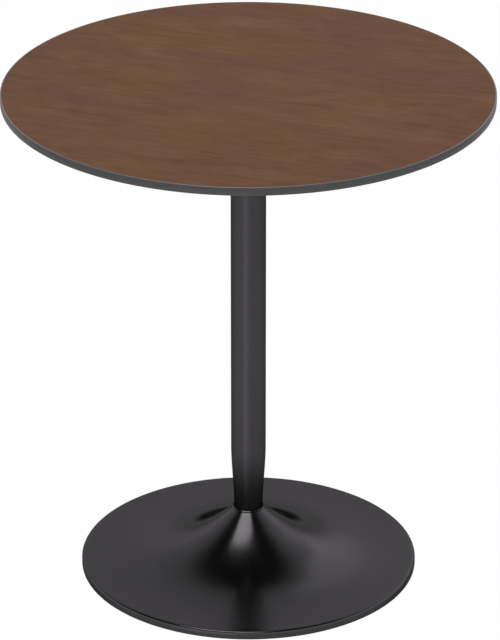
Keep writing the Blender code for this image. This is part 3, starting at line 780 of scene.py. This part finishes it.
def take_shape(carrier):
    """The finished shape of an object, loose; its modifiers and the object itself go."""
    graph = bpy.context.evaluated_depsgraph_get()
    made = bpy.data.meshes.new_from_object(carrier.evaluated_get(graph))
    carrier.modifiers.clear()
    bpy.data.objects.remove(carrier, do_unlink=True)
    shape = bmesh.new()
    shape.from_mesh(made)
    return shape


def keep_tree(name, tree, sizes, slot, nodes, body="table"):
    """Run a tree with the given sizes and keep the plain mesh that it makes as a piece."""
    carrier = link_object(name + "_maker", bpy.data.meshes.new(name + "_maker"))
    maker = carrier.modifiers.new("maker", 'NODES')
    maker.node_group = tree
    for socket in tree.interface.items_tree:
        if socket.in_out == 'INPUT':
            maker[socket.identifier] = FINISHES[slot] if socket.name == "Finish" else sizes[socket.name]
    keep_piece(smooth_mesh(name, take_shape(carrier)), slot, nodes, body)


print("strip helpers ready")

# %% [markdown]
# ## The shell as one closed sheet
# Sixteen strips make the shell, from the collar's rim down the outside, round the lip and back up the
# inside. The collar and the lip end where the flare does, so their heights there are worked out by the
# same rule in a few lines of Python. Whoever changes the slope only changes it in the table of sizes.

# %% Trumpet sizes
shell_low, shell_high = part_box("base_shell")
TRUMPET = {
    "Sides": 256, "Neck Radius": 0.023, "Neck Height": collar_top, "Bead": 0.0008,
    "Cone Top": collar_top - 0.0031, "Disc Height": shell_low.z + 0.011,
    "Base Radius": shell_high.x, "Lip Foot": shell_low.z,
    "Lip Corner": 0.0036, "Wall": 0.0015, "Slope": 1.15, "Blend": 0.040,
}


def flare_point(radius, depth=0.0):
    """Where the flare lies at a radius, set in square to the sheet by a depth."""
    slope = TRUMPET["Slope"]
    blend = TRUMPET["Blend"]
    disc = TRUMPET["Disc Height"]
    rise = (TRUMPET["Cone Top"] - disc) / (slope * blend)
    knee = TRUMPET["Neck Radius"] + blend * math.log(math.exp(rise) - 1.0)
    swell = math.exp((knee - radius) / blend)
    tilt = math.atan(slope * swell / (1.0 + swell))
    height = disc + slope * blend * math.log(1.0 + swell)
    return radius - depth * math.sin(tilt), height - depth * math.cos(tilt)


lip_start = TRUMPET["Base Radius"] - TRUMPET["Lip Corner"]
outer_height = flare_point(lip_start)[1]
inner_end = flare_point(lip_start, TRUMPET["Wall"])
inner_top = flare_point(TRUMPET["Neck Radius"], TRUMPET["Wall"])
corner_foot = outer_height - TRUMPET["Lip Corner"]
neck_foot = inner_top[1] + 0.0004
print("disc ends", round(1000 * outer_height, 2), "mm high")

# %% Trumpet shell
RIM_CHAMFER = 0.0010
RIM_EASE = 0.0006
RIM_EASE_DROP = 0.0008
BEAD_FOOT_DROP = 0.0012
BEAD_ROOT_DROP = 0.0015
trumpet, sizes, tree_end = new_tree("trumpet_shell", list(TRUMPET))
more = partial(calc, trumpet, 'ADD')
less = partial(calc, trumpet, 'SUBTRACT')
neck = sizes["Neck Radius"]
neck_top = sizes["Neck Height"]
cone_top = sizes["Cone Top"]
wall = sizes["Wall"]
half_wall = calc(trumpet, 'MULTIPLY', wall, 0.5)
neck_inner = less(neck, wall)
rim_inner = less(neck_top, RIM_EASE_DROP)
bead = more(neck, sizes["Bead"])
base = sizes["Base Radius"]
base_inner = less(base, wall)
lip_foot = sizes["Lip Foot"]
lip_round = more(lip_foot, half_wall)
flat_end = less(base, sizes["Lip Corner"])
flare_sizes = {"Group": flare, "Rows": 72, "Inner Radius": neck, "Outer Radius": flat_end,
               "Cone Rise": less(cone_top, sizes["Disc Height"])}
for name in ("Disc Height", "Slope", "Blend"):
    flare_sizes[name] = sizes[name]
collar_rows = section_rows(
    (neck_inner, rim_inner), (more(neck_inner, RIM_EASE), neck_top), (less(bead, RIM_CHAMFER), neck_top),
    (bead, less(neck_top, RIM_CHAMFER)), (bead, less(neck_top, BEAD_FOOT_DROP)),
    (neck, less(neck_top, BEAD_ROOT_DROP), rounded(4, 1.0)), (neck, cone_top))
lip_rows = section_rows(
    (flat_end, outer_height), (base, corner_foot, rounded(8, -1.0)), (base, lip_round),
    (less(base, half_wall), lip_foot, rounded(5, 1.0)), (base_inner, lip_round, rounded(5, -1.0)),
    (base_inner, corner_foot), (*inner_end, rounded(5, 1.0)))
shell = add_strips(trumpet, sizes["Sides"], [
    *collar_rows, {**flare_sizes, "Depth": 0.0}, *lip_rows, {**flare_sizes, "Depth": wall},
    *section_rows(inner_top, (neck_inner, neck_foot), (neck_inner, rim_inner))])
finish_tree(trumpet, shell, sizes["Finish"], tree_end)
keep_tree("trumpet_base", trumpet, TRUMPET, "black_coat", ["base_shell"])

# %% [markdown]
# ## Pieces cut from sheet
# The spider under the top, the backing, the ballast plate in the base and the flat washer are cut from
# flat sheet. A plate with boolean holes keeps razor edges. A filled curve gives the outline, the holes
# and an eased edge in one step, so each piece is such a curve, thickened. Only small angles are shaded
# smooth, so that flat faces stay flat.

# %% Cut sheet
SHEET_SHARP_DEG = 12.0


def round_loop(radius, centre=(0.0, 0.0), sides=48):
    """Points of a round outline or hole."""
    return arc(centre, radius, 0, 360, sides)[:-1]


def cut_sheet(name, loops, low, high, eased):
    """A sheet between two heights, from an outline and its holes, with eased edges."""
    curve = bpy.data.curves.new(name + "_outline", 'CURVE')
    curve.dimensions = '2D'
    curve.fill_mode = 'BOTH'
    curve.extrude = (high - low) / 2.0 - eased
    curve.bevel_depth = eased
    curve.bevel_resolution = 1
    curve.offset = -eased
    for loop in loops:
        spline = curve.splines.new('POLY')
        spline.points.add(len(loop) - 1)
        for point, (x, y) in zip(spline.points, loop):
            point.co = (x, y, 0.0, 1.0)
        spline.use_cyclic_u = True
    shape = take_shape(link_object(name + "_outline", curve))
    bmesh.ops.translate(shape, verts=shape.verts, vec=(0.0, 0.0, (low + high) / 2.0))
    return smooth_mesh(name, shape, SHEET_SHARP_DEG)


def numbered(stem, count):
    """The names of nodes that end in 1, 2, 3 and so on."""
    return [f"{stem}_{number}" for number in range(1, count + 1)]


def middle(node):
    """The middle of a solid's box, seen from above."""
    return (sum(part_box(node), Vector()) / 2.0).xy


screw_spots = [middle(node) for node in numbered("plate_screw", 8)]
glide_spots = [middle(node) for node in numbered("glide_pad", 4)]
print("screw circles:", [round(spot.length, 4) for spot in screw_spots[:2]])

# %% [markdown]
# ## Spider, backing, ballast and washer
# The spider has four arms that narrow towards round tips, and two holes on each. The backing has the
# same holes, larger, for the inserts. The ballast plate fills the base and carries the glides.

# %% Sheet pieces
SPIDER_ROOT = (0.0414, 0.028)
SPIDER_TIP_REACH = 0.205
SPIDER_TIP_RADIUS = 0.015
arm_outline = [(SPIDER_ROOT[0], -SPIDER_ROOT[1])]
arm_outline += arc((SPIDER_TIP_REACH, 0.0), SPIDER_TIP_RADIUS, -90, 90, 20)
arm_outline += [SPIDER_ROOT]
spider_outline = []
for quarter_turn in range(4):
    turn = Matrix.Rotation(quarter_turn * math.pi / 2, 2)
    spider_outline += [tuple(turn @ Vector(point)) for point in arm_outline]

backing_outline = round_loop(face_radius, sides=TOP_SIDES)
plate_outline = round_loop(0.2433, sides=256)
plate_bore = [round_loop(0.0133)]
washer_bore = [round_loop(0.0053)]
SHEETS = (
    # piece, CAD node, outline, bore, hole radius and places, eased edge, slot
    ("arm_spider", "top_plate", spider_outline, [], 0.0032, screw_spots, 0.0004, "black_coat"),
    ("board_backing", "backing_sheet", backing_outline, [], 0.0049, screw_spots, 0.0001, "black_backing"),
    ("ballast_disc", "ballast_plate", plate_outline, plate_bore, 0.0062, glide_spots, 0.0008, "bare_steel"),
    ("flat_washer", "rod_washer", round_loop(0.010), washer_bore, 0.0, [], 0.0002, "zinc_plate"),
)
for piece, node, outline, bore, radius, spots, eased, slot in SHEETS:
    low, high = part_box(node)
    loops = [outline, *bore, *(round_loop(radius, spot) for spot in spots)]
    keep_piece(cut_sheet(piece, loops, low.z, high.z, eased), slot, [node])

# %% [markdown]
# ## The two hubs
# Both hubs are turned from bar. The upper one is welded under the spider, centres the tube and is
# tapped for the tie rod. The lower one stands on the ballast plate inside the trumpet; its spigot
# centres the tube's foot, and a well from below leaves room for the nut and a spanner.

# %% Hubs
HUB_SIDES = 96
low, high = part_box("top_hub")
upper_section = [(0.0, high.z), (0.027, high.z), (0.028, high.z - 0.001)]
upper_section += arc((0.0276, high.z - 0.0046), 0.0004, 0, -90, 3)
upper_section += [(0.0233, high.z - 0.005), (0.0233, low.z + 0.001), (0.0223, low.z), (0.0061, low.z),
                  (0.0053, low.z + 0.0008), (0.0053, low.z + 0.0343), (0.0, low.z + 0.0343)]
keep_piece(turn_piece("upper_hub", upper_section, HUB_SIDES), "black_coat", ["top_hub"])

low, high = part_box("base_hub")
lower_section = [(0.0135, low.z)]
lower_section += arc((0.0437, low.z + 0.0008), 0.0008, -90, 0, 4)
lower_section += arc((0.0437, low.z + 0.0052), 0.0008, 0, 90, 4)
lower_section += arc((0.0305, low.z + 0.009), 0.003, -90, -180, 6)
lower_section += [(0.0275, high.z - 0.0470), (0.0265, high.z - 0.0460), (0.0189, high.z - 0.0460),
                  (0.0189, high.z - 0.0015), (0.0174, high.z), (0.0061, high.z), (0.0053, high.z - 0.0008),
                  (0.0053, low.z + 0.028), (0.013, low.z + 0.028), (0.013, low.z + 0.0005)]
keep_piece(turn_piece("lower_hub", lower_section, HUB_SIDES), "bare_steel", ["base_hub"])

# %% [markdown]
# ## Fixings that repeat
# Screws, inserts and bushes are each one thing set down several times. Copies could be placed by hand.
# Here a Geometry Nodes tree turns the thing from strips once, sets it on points a quarter turn apart,
# and turns each by a random amount with a fixed seed, because nobody lines up the sockets of screws.

# %% Trees for fixings
FIRST_SEED = 3


def set_round(tree, shape, sizes, circle, seed):
    """Set a shape on points a quarter turn apart, each turned by its own amount."""
    index = put(tree, 'GeometryNodeInputIndex')[0]
    angle = calc(tree, 'ADD', sizes["First Angle"], calc(tree, 'MULTIPLY', index, math.pi / 2))
    spot = spot_at(tree, circle, angle, sizes["Seat Height"])
    points = put(tree, 'GeometryNodePoints', {"Count": sizes["Count"], "Position": spot})[0]
    loose = put(tree, 'FunctionNodeRandomValue', {2: 0.0, 3: sizes["Loose Turn"], "Seed": seed})
    turn = put(tree, 'ShaderNodeCombineXYZ', {"Z": calc(tree, 'ADD', angle, loose[1])})[0]
    rotation = put(tree, 'FunctionNodeEulerToRotation', {0: turn})[0]
    return put(tree, 'GeometryNodeInstanceOnPoints', {
        "Points": points, "Instance": shape, "Rotation": rotation})[0]


def keep_fixing(name, rows, sizes, slot, nodes, body="table", circles=("Circle",)):
    """Turn one fixing from its section rows, set it where its nodes are and keep it as one piece."""
    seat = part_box(nodes[0])[0].z - min(row["Start Height"] for row in rows)
    sizes = {**sizes, "Count": len(nodes) // len(circles), "Seat Height": seat}
    inputs = ["Sides", "Count", "First Angle", *circles, "Seat Height", "Loose Turn"]
    tree, sockets, tree_end = new_tree(name + "_tree", inputs)
    one = add_strips(tree, sockets["Sides"], rows)
    joined = add(tree, 'GeometryNodeJoinGeometry')
    for seed, circle in enumerate(circles, start=FIRST_SEED):
        fill(tree, joined.inputs[0], set_round(tree, one, sockets, sockets[circle], seed))
    finish_tree(tree, joined.outputs[0], sockets["Finish"], tree_end)
    keep_tree(name, tree, sizes, slot, nodes, body)


print("fixing trees ready")

# %% [markdown]
# ## Screws and inserts under the top
# The screws are button heads with a hexagon socket. Their threads run up into brass inserts, whose
# coarse outside thread holds in the board. A section below is a start and the steps from there: the
# next radius and height and, where the way is not straight, whether it is round, six-sided or threaded.

# %% Screws and inserts
HEAD_HEIGHT = 0.0033
SCREW_ROWS = section_rows(
    (0.0, -0.0013), (0.0020, -0.0016, TO_HEXAGON), (0.0020, -0.0031, HEXAGON),
    (0.00245, -HEAD_HEIGHT, FROM_HEXAGON), (0.0031, -HEAD_HEIGHT), (0.0055, -0.0004, rounded(8, -1.0)),
    (0.0052, 0.0), (0.0031, 0.0), (0.0029, 0.0004), (0.0029, 0.0119, threaded(47, 0.0005, 0.001)),
    (0.0023, 0.0126), (0.0, 0.0126))
INSERT_ROWS = section_rows(
    (0.0036, 0.0), (0.0042, 0.0), (0.0046, 0.0004), (0.0046, 0.0081, threaded(25, 0.0006, 0.0013)),
    (0.0042, 0.0085), (0.0036, 0.0085), (0.0032, 0.0081), (0.0032, 0.0004, threaded(33, 0.0002, 0.001)),
    (0.0036, 0.0))
circles = ("Inner Circle", "Outer Circle")
screw_sizes = {"Sides": 36, "First Angle": 0.0, "Loose Turn": 2.0 * math.pi}
for circle, spot in zip(circles, screw_spots):
    screw_sizes[circle] = spot.length
insert_sizes = {**screw_sizes, "Sides": 24}
keep_fixing("socket_screws", SCREW_ROWS, screw_sizes, "zinc_plate", numbered("plate_screw", 8),
            circles=circles)
keep_fixing("brass_inserts", INSERT_ROWS, insert_sizes, "brass", numbered("insert_nut", 8),
            circles=circles)

# %% [markdown]
# ## Tie rod, nut and split washer
# One rod clamps the table together. It is threaded at both ends only, which is cheaper than a thread
# all the way. The nut is six-sided with its corners turned off. The split washer is a short coil:
# a turned ring would close its gap, so its section is carried round by hand and stops short.

# %% Rod and nut


def height_of(node):
    """How tall a solid is."""
    low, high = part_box(node)
    return high.z - low.z


tall = height_of("tie_rod")
ROD_ROWS = section_rows(
    (0.0, 0.0), (0.0042, 0.0), (0.0050, 0.0008), (0.0050, 0.0560, threaded(148, 0.0008, 0.0015)),
    (0.0050, 0.6610, {"Rows": 8}), (0.0050, tall - 0.0008, threaded(104, 0.0008, 0.0015)),
    (0.0042, tall), (0.0, tall))
rod_sizes = {"Sides": 24, "First Angle": 0.0, "Circle": 0.0, "Loose Turn": 0.0}
keep_fixing("clamp_rod", ROD_ROWS, rod_sizes, "zinc_plate", ["tie_rod"])

tall = height_of("rod_nut")
NUT_ROWS = section_rows(
    (0.0060, 0.0), (0.0076, 0.0), (0.0080, 0.0008, TO_HEXAGON), (0.0080, tall - 0.0008, HEXAGON),
    (0.0076, tall, FROM_HEXAGON), (0.0060, tall), (0.0053, tall - 0.0007),
    (0.0053, 0.0007, threaded(20, 0.0002, 0.0015)), (0.0060, 0.0))
keep_fixing("hexagon_nut", NUT_ROWS, {**rod_sizes, "Sides": 60}, "zinc_plate", ["rod_nut"])

# %% Split washer
low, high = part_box("spring_washer")
SPLIT_SLIT_DEG = 12.0
SPLIT_SPRING = 0.0003
SPLIT_STEPS = 72
SPLIT_INNER = 0.0053
SPLIT_OUTER = 0.0089
coil = bmesh.new()
loops = []
for step in range(SPLIT_STEPS + 1):
    share = step / SPLIT_STEPS
    turn = math.radians(SPLIT_SLIT_DEG / 2 + (360.0 - SPLIT_SLIT_DEG) * share)
    foot = low.z + SPLIT_SPRING * share
    head = high.z - SPLIT_SPRING * (1.0 - share)
    corners = ((SPLIT_INNER, foot), (SPLIT_OUTER, foot), (SPLIT_OUTER, head), (SPLIT_INNER, head))
    loops.append([coil.verts.new((r * math.cos(turn), r * math.sin(turn), z)) for r, z in corners])
for first, second in zip(loops, loops[1:]):
    for place in range(4):
        after = (place + 1) % 4
        coil.faces.new((first[place], first[after], second[after], second[place]))
coil.faces.new(loops[0])
coil.faces.new(loops[-1])
keep_piece(smooth_mesh("split_washer", coil), "zinc_plate", ["spring_washer"])

# %% [markdown]
# ## Levelling glides
# Under the ballast plate sit four glides. A threaded bush stays in the plate; a screw with a hexagon
# collar turns in it; a soft pad hangs on the screw's pivot and stands on the floor. Screw and pad
# move on their own, so each is a piece on its own body, made by the same tree with another angle.

# %% Glides
tall = height_of("glide_bush_1")
BUSH_ROWS = section_rows(
    (0.0037, 0.0), (0.0055, 0.0), (0.0059, 0.0004), (0.0059, tall - 0.0004), (0.0055, tall), (0.0037, tall),
    (0.0033, tall - 0.0004), (0.0033, 0.0004, threaded(24, 0.0002, 0.001)), (0.0037, 0.0))
STUD_ROWS = section_rows(
    (0.0, 0.0), (0.0026, 0.0), (0.0030, 0.0004), (0.0030, 0.0020), (0.0052, 0.0020),
    (0.0055, 0.0023, TO_HEXAGON), (0.0055, 0.0041, HEXAGON), (0.0052, 0.0044, FROM_HEXAGON),
    (0.0030, 0.0044), (0.0030, 0.0101, threaded(25, 0.0003, 0.001)), (0.0025, 0.0107), (0.0, 0.0107))
PAD_ROWS = section_rows(
    (0.0, 0.0), (0.0132, 0.0), (0.0140, 0.0008, rounded(5, -1.0)), (0.0140, 0.0026),
    (0.0134, 0.0032, rounded(5, 1.0)), (0.0036, 0.0032), (0.0033, 0.0029), (0.0033, 0.0012), (0.0, 0.0012))
glide_sizes = {"Sides": 36, "First Angle": math.pi / 4, "Loose Turn": 0.0, "Circle": glide_spots[0].length}
keep_fixing("threaded_bushes", BUSH_ROWS, glide_sizes, "zinc_plate", numbered("glide_bush", 4))
for number in range(1, 5):
    here = {**glide_sizes, "First Angle": math.pi / 4 + math.pi / 2 * (number - 1)}
    keep_fixing(f"levelling_screw_{number}", STUD_ROWS, here, "zinc_plate",
                [f"glide_stud_{number}"], f"glide_screw_{number}")
    keep_fixing(f"floor_foot_{number}", PAD_ROWS, {**here, "Sides": 72}, "pad_plastic",
                [f"glide_pad_{number}"], f"glide_pad_{number}")

# %% [markdown]
# ## Finishes for the solids
# The board's core is plain and hidden, so it stays a solid. Each solid gets its slot's finish.

# %% Dress the solids
for row in frame["record"]["subparts"]:
    solid = frame["nodes"][row["node"]]
    solid.data.materials.clear()
    solid.data.materials.append(FINISHES[row["material_slot"]])
